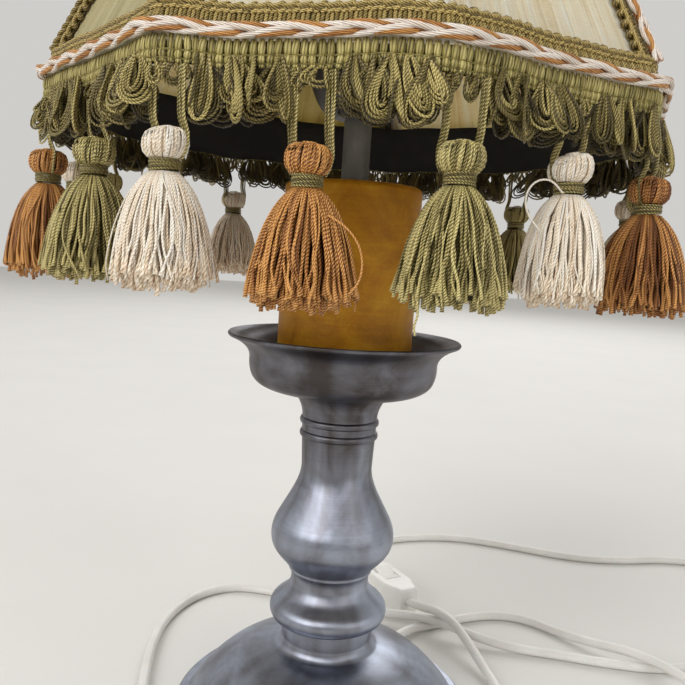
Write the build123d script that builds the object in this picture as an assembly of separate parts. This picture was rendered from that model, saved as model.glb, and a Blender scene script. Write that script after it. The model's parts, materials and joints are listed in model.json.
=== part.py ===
from build123d import *

import math
import os

os.makedirs("parts", exist_ok=True)

# A table lamp: a turned pewter candlestick carries a pillar candle, a riser tube and a lampholder.
# A nine-sided fabric shade with 18 tassels is clamped on the lampholder.
# Millimetres, +Z up, origin at the middle of the foot, on the table. The lamp is seen from -Y.

# ---- driving dimensions: the candlestick ----
FELT_R, FELT_T = 77.0, 1.5
FOOT_R, FOOT_BOTTOM, FOOT_TOP = 80.0, 0.7, 10.0
COLUMN_R, COLUMN_TOP = 24.5, 57.0
KNOP_TOP, BALUSTER_TOP, NECK_TOP = 86.0, 141.0, 181.0
WEIGHT_R, WEIGHT_BOTTOM, WEIGHT_TOP = 61.0, 1.6, 16.0
PAN_FLOOR_T, PAN_RIM_R, PAN_RIM_Z = 3.0, 60.5, 210.0
ROD_R, ROD_BORE_R, ROD_BOTTOM, ROD_TOP = 5.0, 4.0, 30.0, 194.0
ROD_HOLE_R = 5.1
CANDLE_R, CANDLE_HEIGHT, CANDLE_EDGE = 35.0, 103.0, 3.0
RISER_R, RISER_TOP = 7.0, 320.0

# ---- driving dimensions: the lampholder and the bulb ----
HOLDER_SHOULDER_Z, HOLDER_TOP = 352.0, 378.0
HOLDER_BODY_R, HOLDER_SKIRT_R = 22.0, 19.95
BULB_R, BULB_CENTRE_Z, BULB_CAP_R = 30.0, 428.0, 13.2
BULB_CAP_BOTTOM, BULB_CAP_TOP = 354.0, 379.0

# ---- driving dimensions: the shade ----
SIDES, SIDE_ANGLE = 9, 40.0
FIRST_CORNER = -69.1  # degrees from -Y towards +X
RIM_R, RIM_Z = 147.0, 322.0  # circumradius of the panels at the rim
TOP_R, TOP_Z = 61.0, 491.0
PANEL_BOTTOM, PANEL_T, PANEL_SIDE_GAP = 319.0, 1.2, 0.8
RING_WIRE_R, RIB_WIRE_R, ARM_WIRE_R = 2.0, 1.5, 1.5
GIMP_BOTTOM, GIMP_TOP, GIMP_T = 325.4, 333.5, 1.6
BRAID_R, BRAID_Z, BRAID_OUT = 2.9, 322.3, 4.0
HEADER_TOP, HEADER_BOTTOM, HEADER_T = 318.3, 311.0, 3.0
LOOP_BOTTOM, LOOP_T, LOOP_W = 291.5, 8.0, 27.0
TUFT_BOTTOM, TUFT_W = 302.5, 8.0
TRIM_W, TRIM_CORD_R = 8.0, 2.4

# ---- driving dimensions: the tassels ----
TASSELS = 18
FIRST_TASSEL = 13.4  # degrees from -Y towards +X
STRAP_TOP, STRAP_W, STRAP_T, STRAP_SPREAD = 310.6, 3.0, 1.4, 6.2
HEAD_TOP, HEAD_R, NECK_R = 289.0, 7.6, 5.2
WRAP_TOP, WRAP_BOTTOM = 278.5, 274.0
SKIRT_BOTTOM, SKIRT_R = 235.0, 18.4

# ---- driving dimensions: the mains lead ----
LEAD_D = 6.0
EXIT_ANGLE, EXIT_Z, EXIT_R = 60.0, 5.0, 84.0  # degrees from +X towards +Y
SWITCH_AT, SWITCH_HEADING = (43.0, 150.0), -60.0
SWITCH_L, SWITCH_W, SWITCH_H, SWITCH_SPLIT = 60.0, 26.0, 18.0, 8.0
ROCKER_L, ROCKER_W, ROCKER_TILT, ROCKER_PIVOT_Z = 17.0, 12.2, 8.0, 13.0
PLUG_HEADING, PLUG_L, PLUG_W, PLUG_T = -80.0, 36.0, 35.3, 13.7
RELIEF_L, PIN_R, PIN_L, PIN_SPACING = 22.0, 2.0, 19.0, 18.6

# The lead lies on the table. First stretch: from the foot, right and back in a loop, behind the foot,
# round the front, and over its own first strands into the switch.
LEAD_TO_SWITCH = [
    (42.0, 72.746, 5.0), (51.6, 89.374, 5.0), (74, 103.5, 3.1), (98, 117, 3.1), (122, 124, 3.1),
    (143, 119, 3.1), (161, 101, 3.6), (180, 84, 6.5), (197, 70.5, 9.8), (214, 54, 9.8),
    (229, 34, 6.0), (249, 15, 3.1), (276, 6, 3.1), (303, 13, 3.1), (320, 35, 3.1),
    (318, 63, 3.1), (297, 82, 3.1), (268, 82, 3.1), (242, 71, 3.1), (214, 62, 3.1),
    (180, 66, 3.1), (150, 73, 3.1), (122, 77, 3.6), (98, 84, 6.5), (78, 94, 9.8),
    (56, 102, 9.8), (34, 110, 6.0), (6, 119, 3.1), (-22, 130, 3.1), (-46, 141, 3.1),
    (-71, 143, 3.1), (-92, 129, 3.1), (-104, 106, 3.1), (-109, 77, 3.1), (-107, 43, 3.1),
    (-101, 6, 3.1), (-93, -32, 3.1), (-76, -64, 3.1), (-50, -90, 3.1), (-17, -105, 3.1),
    (19, -107, 3.1), (54, -94, 3.1), (82, -68, 3.1), (99, -35, 3.1), (105, 0, 3.1),
    (104, 26, 3.1), (99, 46, 5.0), (92, 65, 10.5), (84, 82, 16.3), (74, 98, 16.3),
    (65.5, 111.0, 11.5), (58.0, 124.0, 9.0),
]
# Second stretch: from the switch, behind the lamp and out to the right, to the plug.
LEAD_TO_PLUG = [
    (28.0, 176.0, 9.0), (21, 188, 8.0), (17, 208, 4.5), (24, 233, 3.1), (46, 254, 3.1),
    (77, 267, 3.1), (112, 272, 3.1), (146, 264, 3.1), (177, 253, 3.1), (205, 243, 3.1),
    (232, 240, 3.1), (261, 243, 3.1), (291, 250, 3.1), (320, 248, 3.1), (344, 232, 3.1),
    (357, 207, 3.1), (361, 186, 4.6), (364, 168.987, 6.85),
]


UP = (Align.CENTER, Align.CENTER, Align.MIN)  # stands on its place


# ---- helpers ----
def turned(start, *steps):
    """A body turned about Z. A step is a point (radius, height) that a straight line goes to,
    or a list of points that one smooth curve goes through."""
    edges, at = [], start
    for step in steps:
        if isinstance(step, list):
            edges.append(Spline(at, *step))
            at = step[-1]
        else:
            edges.append(Line(at, step))
            at = step
    edges.append(Line(at, start))
    return revolve(Plane.XZ * make_face(edges), Axis.Z)


def drum(radius, bottom, top):
    """A cylinder about Z between two heights."""
    return Pos(0, 0, bottom) * Cylinder(radius, top - bottom, align=UP)


def pipe(outer, inner, bottom, top):
    return drum(outer, bottom, top) - drum(inner, bottom - 1, top + 1)


def around(degrees, radius, z):
    """The point at an angle from -Y towards +X."""
    turn = math.radians(degrees)
    return Vector(radius * math.sin(turn), -radius * math.cos(turn), z)


def stand(at, heading, z=0.0):
    """A place at a point of the table, with X along a heading."""
    return Location((at[0], at[1], z), (0, 0, heading))


# ---- the candlestick ----
def base_felt():
    return drum(FELT_R, 0, FELT_T)


def lead_slot(radius, bottom, top):
    """The straight way of the lead from the middle of the foot to its back."""
    way = Pos(50, 0, (bottom + top) / 2) * Box(100, 2 * radius, top - bottom)
    return Rot(0, 0, EXIT_ANGLE) * way


def base_weight():
    disc = drum(WEIGHT_R, WEIGHT_BOTTOM, WEIGHT_TOP) - drum(21, 0, 30)
    return disc - lead_slot(4.5, 0, 9.5)


def base_shell():
    """The cast foot: a band, a dome over it and the short column under the knop."""
    shell = turned(
        (FELT_R + 0.2, FOOT_BOTTOM),
        (FOOT_R - 0.8, FOOT_BOTTOM),
        (FOOT_R, FOOT_BOTTOM + 1.0),
        (FOOT_R, FOOT_TOP - 2.0),
        (FOOT_R - 2.0, FOOT_TOP),
        (74.6, FOOT_TOP),
        [(72.4, 13.6), (66, 21.3), (56, 30.4), (47, 35.6), (38, 39.4), (29.5, 42.0)],
        [(26.2, 43.6), (COLUMN_R, 47.5)],
        (COLUMN_R, COLUMN_TOP),
        (ROD_HOLE_R, COLUMN_TOP),
        (ROD_HOLE_R, 40.0),
        (16.0, 40.0),
        (29.0, 39.0),
        [(38, 36.3), (47, 32.4), (56, 26.9), (66, 17.5), (72, 9.0)],
        (FELT_R + 0.2, 7.5),
    )
    way_out = Rot(0, 0, EXIT_ANGLE) * Pos(FOOT_R, 0, EXIT_Z) * Rot(0, 90, 0) * Cylinder(3.95, 20)
    return shell - way_out


def cord_grommet():
    """A rubber bush in the foot's band, with a lip outside it."""
    body = Pos(0, 0, -2.6) * Cylinder(3.9, 4.0, align=UP)
    lip = Pos(0, 0, 0.1) * Cylinder(4.4, EXIT_R - FOOT_R - 0.1, align=UP)
    bush = body + lip - Cylinder(LEAD_D / 2 + 0.05, 40)
    return Rot(0, 0, EXIT_ANGLE) * Pos(FOOT_R, 0, EXIT_Z) * Rot(0, 90, 0) * bush


def stem_knop():
    outer = turned(
        (ROD_HOLE_R, COLUMN_TOP),
        (26.0, COLUMN_TOP),
        [(29.6, 58.0), (31.5, 61.8), (31.0, 65.2), (27.8, 68.6), (24.2, 71.6), (21.4, 76.0),
         (20.8, 80.0), (22.4, KNOP_TOP - 1.6)],
        (22.4, KNOP_TOP),
        (ROD_HOLE_R, KNOP_TOP),
    )
    hollow = turned((ROD_HOLE_R, 60.0), (26.0, 60.0), (27.0, 64.5), (19.0, 72.0), (17.5, 79.0),
                    (17.5, 83.0), (ROD_HOLE_R, 83.0))
    return outer - hollow


def stem_baluster():
    outer = turned(
        (ROD_HOLE_R, KNOP_TOP),
        (22.9, KNOP_TOP),
        [(24.4, 88.0), (29.2, 93.4), (32.2, 98.8), (32.8, 103.8), (31.4, 110.4), (28.6, 116.0),
         (25.6, 121.5), (22.7, 127.0), (20.3, 132.5), (18.9, 138.0), (18.7, BALUSTER_TOP)],
        (ROD_HOLE_R, BALUSTER_TOP),
    )
    hollow = turned((ROD_HOLE_R, 89.0), (20.0, 89.0), (28.8, 98.5), (29.4, 104.0), (22.4, 121.5),
                    (16.0, 134.0), (15.6, 138.0), (ROD_HOLE_R, 138.0))
    return outer - hollow


def stem_neck():
    """The neck with its two raised rings, flaring out under the drip pan."""
    outer = turned(
        (ROD_HOLE_R, BALUSTER_TOP),
        (18.7, BALUSTER_TOP),
        [(19.0, 148.0), (19.4, 156.2)],
        [(20.5, 157.0), (20.5, 159.0), (19.6, 160.0)],
        (19.6, 163.2),
        [(20.7, 164.0), (20.7, 166.0), (19.8, 167.0)],
        [(20.3, 171.0), (22.2, 175.6), (27.0, NECK_TOP)],
        (ROD_HOLE_R, NECK_TOP),
    )
    hollow = turned((ROD_HOLE_R, 144.0), (16.0, 144.0), (16.6, 172.0), (19.0, 178.0),
                    (ROD_HOLE_R, 178.0))
    return outer - hollow


def drip_pan():
    floor = NECK_TOP + PAN_FLOOR_T
    return turned(
        (ROD_HOLE_R, NECK_TOP),
        (30.0, NECK_TOP),
        [(40.5, 182.4), (46.6, 186.6), (48.7, 192.0), (49.0, 197.0)],
        [(49.8, 200.6), (53.4, 204.6), (PAN_RIM_R - 0.6, 208.0)],
        [(PAN_RIM_R, 209.0), (PAN_RIM_R - 0.6, PAN_RIM_Z)],
        [(52.6, 206.8), (48.2, 202.6), (46.8, 197.6)],
        [(46.4, 192.4), (44.0, 187.4), (38.0, floor + 0.3), (33.0, floor)],
        (ROD_HOLE_R, floor),
    )


def stem_rod():
    return pipe(ROD_R, ROD_BORE_R, ROD_BOTTOM, ROD_TOP)


def hexagon_nut(bottom, height, across_corners_r):
    nut = Pos(0, 0, bottom) * extrude(RegularPolygon(across_corners_r, 6), height)
    return nut - drum(ROD_HOLE_R, bottom - 1, bottom + height + 1)


def rod_nuts():
    """The nut and washer under the foot, and the nut on the drip pan's floor."""
    floor = NECK_TOP + PAN_FLOOR_T
    return Compound(children=[
        hexagon_nut(32.4, 5.6, 9.2),
        pipe(14.0, ROD_HOLE_R, 38.0, 39.9),
        hexagon_nut(floor, 5.0, 9.2),
    ])


def candle():
    floor = NECK_TOP + PAN_FLOOR_T
    wax = drum(CANDLE_R, floor, floor + CANDLE_HEIGHT)
    wax = fillet(wax.edges().sort_by(Axis.Z)[-1], CANDLE_EDGE)
    return wax - drum(10.5, floor - 1, floor + 8.0) - drum(RISER_R + 0.4, floor, floor + 200)


def riser_tube():
    return pipe(RISER_R, ROD_HOLE_R, NECK_TOP + PAN_FLOOR_T + 5.2, RISER_TOP)


# ---- the lampholder and the bulb ----
def socket_cup():
    return turned(
        (ROD_HOLE_R, RISER_TOP),
        (12.0, RISER_TOP),
        [(17.6, 322.8), (22.6, 330.0), (26.0, 340.0), (27.4, 350.0)],
        (26.2, 350.0),
        [(24.8, 340.2), (21.4, 330.8), (16.8, 324.2), (12.0, 321.4)],
        (ROD_HOLE_R, 321.4),
    )


def lampholder_shell():
    return turned(
        (ROD_HOLE_R, 321.4),
        (10.0, 321.4),
        (10.0, 328.0),
        [(15.0, 331.0), (20.0, 336.0), (HOLDER_BODY_R, 342.0)],
        (HOLDER_BODY_R, HOLDER_SHOULDER_Z),
        (HOLDER_SKIRT_R, HOLDER_SHOULDER_Z),
        (HOLDER_SKIRT_R, HOLDER_TOP),
        (17.0, HOLDER_TOP),
        (17.0, 334.0),
        (ROD_HOLE_R, 334.0),
    )


def lampholder_core():
    return drum(16.9, 334.2, 349.0) - drum(1.6, 330, 350)


def lampholder_contacts():
    """The screw shell and the sprung centre tongue."""
    screw_shell = pipe(14.6, 13.6, 349.2, 374.0)
    tongue = drum(4.0, 349.2, 353.8) + drum(1.5, 340.0, 349.2)
    return Compound(children=[screw_shell, tongue])


def shade_ring_nut():
    """The ring that screws down on the lampholder's skirt and clamps the shade."""
    ring = pipe(24.0, HOLDER_SKIRT_R + 0.08, 353.6, 360.0)
    grips = [Rot(0, 0, 30 * k) * Pos(24.2, 0, 356.8) * Cylinder(1.2, 6.4) for k in range(12)]
    return ring - grips


def bulb_cap():
    return drum(BULB_CAP_R, 358.0, BULB_CAP_TOP) + drum(5.0, BULB_CAP_BOTTOM, 358.0)


def bulb_glass():
    neck = BULB_CAP_TOP + 0.02
    outer = turned(
        (0, neck), (13.4, neck),
        [(15.4, 389), (22.4, 404), (28.6, 417), (BULB_R, BULB_CENTRE_Z), (26.2, 444), (15.2, 455.6),
         (0.001, 458.6)],
        (0, 458.6),
    )
    hollow = turned(
        (0, neck + 1), (12.2, neck + 1),
        [(14.3, 389.2), (21.4, 404.4), (27.5, 417.4), (BULB_R - 1.1, BULB_CENTRE_Z), (25.3, 443.4),
         (14.6, 454.6), (0.001, 457.5)],
        (0, 457.5),
    )
    return outer - hollow


# ---- the shade ----
def panel_r(z):
    """Circumradius of the panels' outer faces at a height."""
    return RIM_R - (RIM_R - TOP_R) * (z - RIM_Z) / (TOP_Z - RIM_Z)


def corner(index, radius, z):
    return around(FIRST_CORNER + SIDE_ANGLE * index, radius, z)


def side_ring(bottom, top, inner, outer, lean=True):
    """A nine-sided band. inner and outer are added to the panels' circumradius."""
    def solid(offset):
        radii = [panel_r(bottom), panel_r(top)] if lean else [RIM_R, RIM_R]
        faces = []
        for radius, z in zip(radii, (bottom, top)):
            points = [corner(k, radius + offset, z) for k in range(SIDES)]
            faces.append(make_face(Polyline(*points, close=True)))
        return loft(faces, ruled=True)

    return solid(outer) - solid(inner)


def panel(index):
    """One flat side between two ribs."""
    left_low, right_low = (corner(index + k, panel_r(PANEL_BOTTOM), PANEL_BOTTOM) for k in (0, 1))
    left_top, right_top = (corner(index + k, TOP_R, TOP_Z) for k in (0, 1))
    along = (right_low - left_low).normalized() * PANEL_SIDE_GAP
    points = [left_low + along, right_low - along, right_top - along, left_top + along]
    inward = (left_top - left_low).cross(right_low - left_low).normalized()
    if inward.dot(Vector(left_low.X, left_low.Y, 0)) > 0:
        inward = -inward
    return extrude(make_face(Polyline(*points, close=True)), PANEL_T, dir=inward)


def shade_panels(olive):
    return Compound(children=[panel(k) for k in range(SIDES) if (k % 3 == 0) == olive])


def wire_ring(radius, z, wire_r):
    """A closed nine-sided ring of round wire, mitred at its corners."""
    points = [corner(k, radius, z) for k in range(SIDES)]
    start = (points[0] + points[-1]) / 2
    path = Polyline(start, *points, start)
    return sweep(Plane(start, z_dir=path % 0) * Circle(wire_r), path, transition=Transition.RIGHT)


def rod_between(a, b, radius):
    return Plane(a, z_dir=b - a).location * Cylinder(radius, (b - a).length, align=UP)


RING_INSET, RIB_INSET = 4.4, 4.0
LOW_RING_Z, TOP_RING_Z = 323.0, 487.5


def shade_frame():
    """The welded wire frame: a rim ring, a top ring and nine ribs."""
    frame = wire_ring(panel_r(LOW_RING_Z) - RING_INSET, LOW_RING_Z, RING_WIRE_R)
    frame += wire_ring(panel_r(TOP_RING_Z) - RING_INSET, TOP_RING_Z, RING_WIRE_R)
    for k in range(SIDES):
        low = corner(k, panel_r(LOW_RING_Z) - RIB_INSET - 0.2, LOW_RING_Z)
        top = corner(k, panel_r(TOP_RING_Z) - RIB_INSET - 0.2, TOP_RING_Z)
        frame += rod_between(low, top, RIB_WIRE_R)
    return frame


HUB_T, HUB_OUTER_R, ARMS = 1.4, 26.0, 3


def shade_spider():
    """The hub ring on the lampholder and its three arms up to the top ring."""
    middle = HOLDER_SHOULDER_Z + HUB_T / 2 + 0.05
    hub = pipe(HUB_OUTER_R, HOLDER_SKIRT_R + 0.07, middle - HUB_T / 2, middle + HUB_T / 2)
    for k in range(ARMS):
        side = k * SIDES // ARMS
        route = [corner(side, 24.2, middle), corner(side, 34.0, middle),
                 corner(side, panel_r(TOP_RING_Z) - RING_INSET - 3.4, TOP_RING_Z)]
        path = FilletPolyline(*route, radius=6)
        hub += sweep(Plane(path @ 0, z_dir=path % 0) * Circle(ARM_WIRE_R), path)
    return hub


def gimp_band():
    """The narrow woven braid that covers the panels' lower edge."""
    return side_ring(GIMP_BOTTOM, GIMP_TOP, 0.15, 0.15 + GIMP_T)


def braid_cord():
    """The plaited cord along the rim, with rounded corners."""
    points = [corner(k, panel_r(BRAID_Z) + BRAID_OUT, BRAID_Z) for k in range(SIDES)]
    path = FilletPolyline(*points, radius=8, close=True)
    return sweep(Plane(path @ 0, z_dir=path % 0) * Circle(BRAID_R), path)


def rib_trim(index):
    """A woven braid folded over a corner, with a twisted cord on its ridge."""
    faces = []
    for z in (GIMP_TOP + 0.3, 482.0):
        radius = panel_r(z) + 0.2
        ridge, left, right = (corner(index + k, radius, z) for k in (0, -1, 1))
        out = Vector(ridge.X, ridge.Y, 0).normalized() * GIMP_T
        legs = [ridge + (end - ridge).normalized() * TRIM_W for end in (left, right)]
        loop = [ridge, legs[0], legs[0] + out, ridge + out, legs[1] + out, legs[1]]
        faces.append(make_face(Polyline(*loop, close=True)))
    band = loft(faces, ruled=True)
    low, top = (corner(index, panel_r(z) + GIMP_T + 2.0, z) for z in (GIMP_TOP + 2.0, 480.5))
    return band + rod_between(low, top, TRIM_CORD_R)


def rib_trims():
    """Trims on the six corners where the two fabrics meet."""
    return Compound(children=[rib_trim(k) for k in range(SIDES) if k % 3 != 2])


def top_trim():
    return side_ring(482.6, 490.4, 0.15, 0.15 + 2.2)


def fringe_header():
    """The ribbed band that the fringe hangs from."""
    return side_ring(HEADER_BOTTOM, HEADER_TOP, -0.8, -0.8 + HEADER_T, lean=False)


# ---- the fringe and the tassels ----
def rim_r(degrees):
    """Distance from the axis to the rim's side at an angle."""
    from_middle = (degrees - FIRST_CORNER) % SIDE_ANGLE - SIDE_ANGLE / 2
    half = math.radians(SIDE_ANGLE / 2)
    return (RIM_R + 0.7) * math.cos(half) / math.cos(math.radians(from_middle))


def hang(degrees):
    """A place under the rim: X along the rim, Y inwards at an angle, Z up, at table height."""
    at = around(degrees, rim_r(degrees), 0)
    return Location((at.X, at.Y, 0), (0, 0, degrees))


def hanging_slab(width, bottom, thickness):
    """A slab of threads under the header, rounded at its lower corners."""
    top = HEADER_BOTTOM - 0.1
    slab = Pos(0, 0, (top + bottom) / 2) * Box(width, thickness, top - bottom)
    low = slab.edges().group_by(Axis.Z)[0].filter_by(Axis.Y)
    return fillet(low, min(width, top - bottom) * 0.42)


def loop_fringe():
    """Bunches of looped threads between the tassels, and a short tuft between each one's straps."""
    bunch = hanging_slab(LOOP_W, LOOP_BOTTOM, LOOP_T)
    tuft = hanging_slab(TUFT_W, TUFT_BOTTOM, 4.0)
    pitch = 360 / TASSELS
    solids = []
    for k in range(TASSELS):
        solids.append(hang(FIRST_TASSEL + (k + 0.5) * pitch) * bunch)
        solids.append(hang(FIRST_TASSEL + k * pitch) * tuft)
    return Compound(children=solids)


def tassel():
    """Two straps, a wound head, a wrapped neck and a skirt of threads."""
    body = turned(
        (0, SKIRT_BOTTOM),
        (SKIRT_R, SKIRT_BOTTOM),
        [(17.8, SKIRT_BOTTOM + 9.0), (16.1, SKIRT_BOTTOM + 18.0), (13.4, SKIRT_BOTTOM + 26.5),
         (9.6, SKIRT_BOTTOM + 34.0), (NECK_R + 0.6, WRAP_BOTTOM)],
        (NECK_R + 0.3, WRAP_BOTTOM),
        (NECK_R + 0.3, WRAP_TOP),
        (NECK_R, WRAP_TOP),
        [(HEAD_R, WRAP_TOP + 4.4), (HEAD_R - 0.5, HEAD_TOP - 2.6), (4.8, HEAD_TOP)],
        (0, HEAD_TOP),
    )
    strap_bottom = WRAP_TOP + 3.0
    for side in (-1, 1):
        strap = Box(STRAP_W, STRAP_T, STRAP_TOP - strap_bottom)
        body += Pos(side * STRAP_SPREAD, 0, (STRAP_TOP + strap_bottom) / 2) * strap
    return body


# ---- the mains lead, its switch and its plug ----
def inner_lead():
    """The lead inside the lamp, from the grommet through the foot and up the rod."""
    out = math.radians(EXIT_ANGLE)
    foot = (EXIT_R * math.cos(out), EXIT_R * math.sin(out), EXIT_Z)
    path = FilletPolyline(foot, (0, 0, EXIT_Z), (0, 0, 333.5), radius=16)
    return sweep(Plane(path @ 0, z_dir=path % 0) * Circle(LEAD_D / 2), path)


def lead_tube(name, route):
    """A round lead along straight runs and the largest tangent arcs that they leave room for."""
    points = [Vector(*point) for point in route]
    runs = [(b - a).length for a, b in zip(points, points[1:])]
    radii = []
    for k in range(1, len(points) - 1):
        turn = (points[k] - points[k - 1]).get_angle(points[k + 1] - points[k])
        radii.append(0.45 * min(runs[k - 1], runs[k]) / math.tan(math.radians(turn / 2)))
    path = FilletPolyline(*points, radius=radii)
    tube = sweep(Plane(path @ 0, z_dir=path % 0) * Circle(LEAD_D / 2), path)
    expected = math.pi * LEAD_D**2 / 4 * path.length
    print(name, "length", round(path.length, 1), "least radius", round(min(radii), 1),
          "volume / (section x length)", round(tube.volume / expected, 4))
    print(name, "radii", [round(radius) for radius in radii])
    return tube


def switch_outline(margin=0.0):
    """The switch from above: broad in the middle, narrower at both ends."""
    half_l, half_w = SWITCH_L / 2 - margin, SWITCH_W / 2 - margin
    end_w = 7.0 - margin
    points = [(-half_l, -end_w), (-half_l, end_w), (-14, half_w), (14, half_w),
              (half_l, end_w), (half_l, -end_w), (14, -half_w), (-14, -half_w)]
    return make_face(Polyline(*points, close=True))


def switch_base():
    shell = extrude(switch_outline(), SWITCH_SPLIT - 0.05)
    hollow = Pos(0, 0, 2) * extrude(switch_outline(margin=2.2), 20)
    way = Pos(0, 0, 9.0) * Rot(0, 90, 0) * Cylinder(LEAD_D / 2 + 0.1, 200)
    for side in (-1, 1):
        shell -= Pos(side * 20.0, 0, 0) * Cylinder(1.65, 10)
    return stand(SWITCH_AT, SWITCH_HEADING) * (shell - hollow - way)


def switch_cover():
    """The upper half, with the window and the bearings of the rocker."""
    shell = Pos(0, 0, SWITCH_SPLIT) * extrude(switch_outline(), SWITCH_H - SWITCH_SPLIT)
    rims = shell.edges().group_by(Axis.Z)[-1]
    shell = fillet(rims, 2.5)
    window = Pos(0, 0, SWITCH_H) * Box(ROCKER_L + 2.4, ROCKER_W + 0.6, 40)
    bearings = Pos(0, 0, ROCKER_PIVOT_Z) * Rot(90, 0, 0) * Cylinder(1.25, 16.4)
    ends = [Pos(side * 21.0, 0, 10.6) * Box(14, 8, 5.4) for side in (-1, 1)]
    way = Pos(0, 0, 9.0) * Rot(0, 90, 0) * Cylinder(LEAD_D / 2 + 0.1, 200)
    return stand(SWITCH_AT, SWITCH_HEADING) * (shell - window - bearings - ends - way)


def switch_screws():
    """Two countersunk screws from below."""
    solids = []
    for side in (-1, 1):
        solids.append(Pos(side * 20.0, 0, 0.2) * Cylinder(1.6, 1.6, align=UP))
    return stand(SWITCH_AT, SWITCH_HEADING) * Compound(children=solids)


def switch_rocker():
    half = ROCKER_L / 2
    points = [(-half, 12), (-half, 19.4), (0, 17.4), (half, 19.4), (half, 12), (0, 9.4)]
    side = make_face(Polyline(*points, close=True))
    rocker = Pos(0, ROCKER_W / 2, 0) * extrude(Plane.XZ * side, ROCKER_W)
    rocker += Pos(0, 0, ROCKER_PIVOT_Z) * Rot(90, 0, 0) * Cylinder(1.2, ROCKER_W + 3.4)
    tilt = Pos(0, 0, ROCKER_PIVOT_Z) * Rot(0, ROCKER_TILT, 0) * Pos(0, 0, -ROCKER_PIVOT_Z)
    return stand(SWITCH_AT, SWITCH_HEADING) * (tilt * rocker)


def plug_place():
    return stand(LEAD_TO_PLUG[-1][:2], PLUG_HEADING, LEAD_TO_PLUG[-1][2])


def plug_body():
    """A flat two-pin plug with a tapered strain relief."""
    relief = Rot(0, 90, 0) * Cone(LEAD_D / 2 + 1.0, LEAD_D / 2 + 2.6, RELIEF_L, align=UP)
    near = Plane.YZ.offset(RELIEF_L - 0.5) * RectangleRounded(15.0, 11.0, 4.0)
    far = Plane.YZ.offset(RELIEF_L + PLUG_L) * RectangleRounded(PLUG_W, PLUG_T, 6.0)
    body = loft([near.face(), far.face()], ruled=True)
    return plug_place() * (body + relief)


def plug_pins():
    """Two round pins."""
    pins = []
    for side in (-1, 1):
        pin = Cylinder(PIN_R, PIN_L, align=UP)
        pin = fillet(pin.edges().sort_by(Axis.Z)[-1], 1.2)
        pins.append(Pos(RELIEF_L + PLUG_L + 0.02, side * PIN_SPACING / 2, 0) * Rot(0, 90, 0) * pin)
    return plug_place() * Compound(children=pins)


def export(name, shape):
    export_step(shape, f"parts/{name}.step")


for build in (base_felt, base_weight, base_shell, cord_grommet, stem_knop, stem_baluster, stem_neck,
              drip_pan, stem_rod, rod_nuts, candle, riser_tube, socket_cup, lampholder_shell,
              lampholder_core, lampholder_contacts, shade_ring_nut, bulb_cap, bulb_glass, shade_frame,
              shade_spider, gimp_band, braid_cord, rib_trims, top_trim, fringe_header, loop_fringe,
              inner_lead, switch_base, switch_cover, switch_screws, switch_rocker, plug_body,
              plug_pins):
    export(build.__name__, build())

export("shade_panels_olive", shade_panels(True))
export("shade_panels_cream", shade_panels(False))
export("mains_lead_lamp", lead_tube("mains_lead_lamp", LEAD_TO_SWITCH))
export("mains_lead_plug", lead_tube("mains_lead_plug", LEAD_TO_PLUG))
one_tassel = tassel()
for number in range(TASSELS):
    place = hang(FIRST_TASSEL + number * 360 / TASSELS)
    export(f"tassel_{number + 1:02d}", place * one_tassel)
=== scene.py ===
"""The looks of the candlestick lamp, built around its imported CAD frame.

Lengths in this file are millimetres and angles are degrees, unless a name says otherwise;
everything is scaled to metres when it becomes a Blender object.
Angles round the lamp are measured from -Y towards +X, as in the CAD part."""

import json
import math

import bpy
import numpy as np
from mathutils import Matrix, Vector


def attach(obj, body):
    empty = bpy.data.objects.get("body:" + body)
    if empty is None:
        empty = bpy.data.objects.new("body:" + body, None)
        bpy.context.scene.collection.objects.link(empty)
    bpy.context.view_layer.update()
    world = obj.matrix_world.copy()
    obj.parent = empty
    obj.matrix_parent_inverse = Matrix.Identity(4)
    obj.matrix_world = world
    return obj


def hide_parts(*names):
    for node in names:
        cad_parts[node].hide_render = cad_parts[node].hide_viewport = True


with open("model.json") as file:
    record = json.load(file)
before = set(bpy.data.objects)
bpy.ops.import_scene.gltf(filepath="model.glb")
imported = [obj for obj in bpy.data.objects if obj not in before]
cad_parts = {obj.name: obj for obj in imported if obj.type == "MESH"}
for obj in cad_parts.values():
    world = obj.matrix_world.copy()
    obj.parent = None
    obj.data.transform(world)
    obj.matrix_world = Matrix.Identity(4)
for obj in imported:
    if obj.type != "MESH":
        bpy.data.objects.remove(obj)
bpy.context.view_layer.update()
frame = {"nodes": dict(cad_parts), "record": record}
MM = 0.001
TAU = 2 * math.pi

# ---- camera: the photograph's own view ----
IMAGE_PX, FOCAL_PX, SENSOR_MM = 685, 750, 36.0
CAMERA_AT, PITCH, ROLL = (-1.0, -390.0, 250.0), 6.4, 3.6

camera = bpy.data.objects.new("camera", bpy.data.cameras.new("camera"))
bpy.context.scene.collection.objects.link(camera)
camera.data.sensor_width = SENSOR_MM
camera.data.lens = FOCAL_PX * SENSOR_MM / IMAGE_PX
camera.data.clip_start = 0.01
aim = Matrix.Rotation(math.radians(90 - PITCH), 4, "X") @ Matrix.Rotation(math.radians(ROLL), 4, "Z")
camera.matrix_world = Matrix.Translation([c * MM for c in CAMERA_AT]) @ aim
bpy.context.scene.camera = camera

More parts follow.
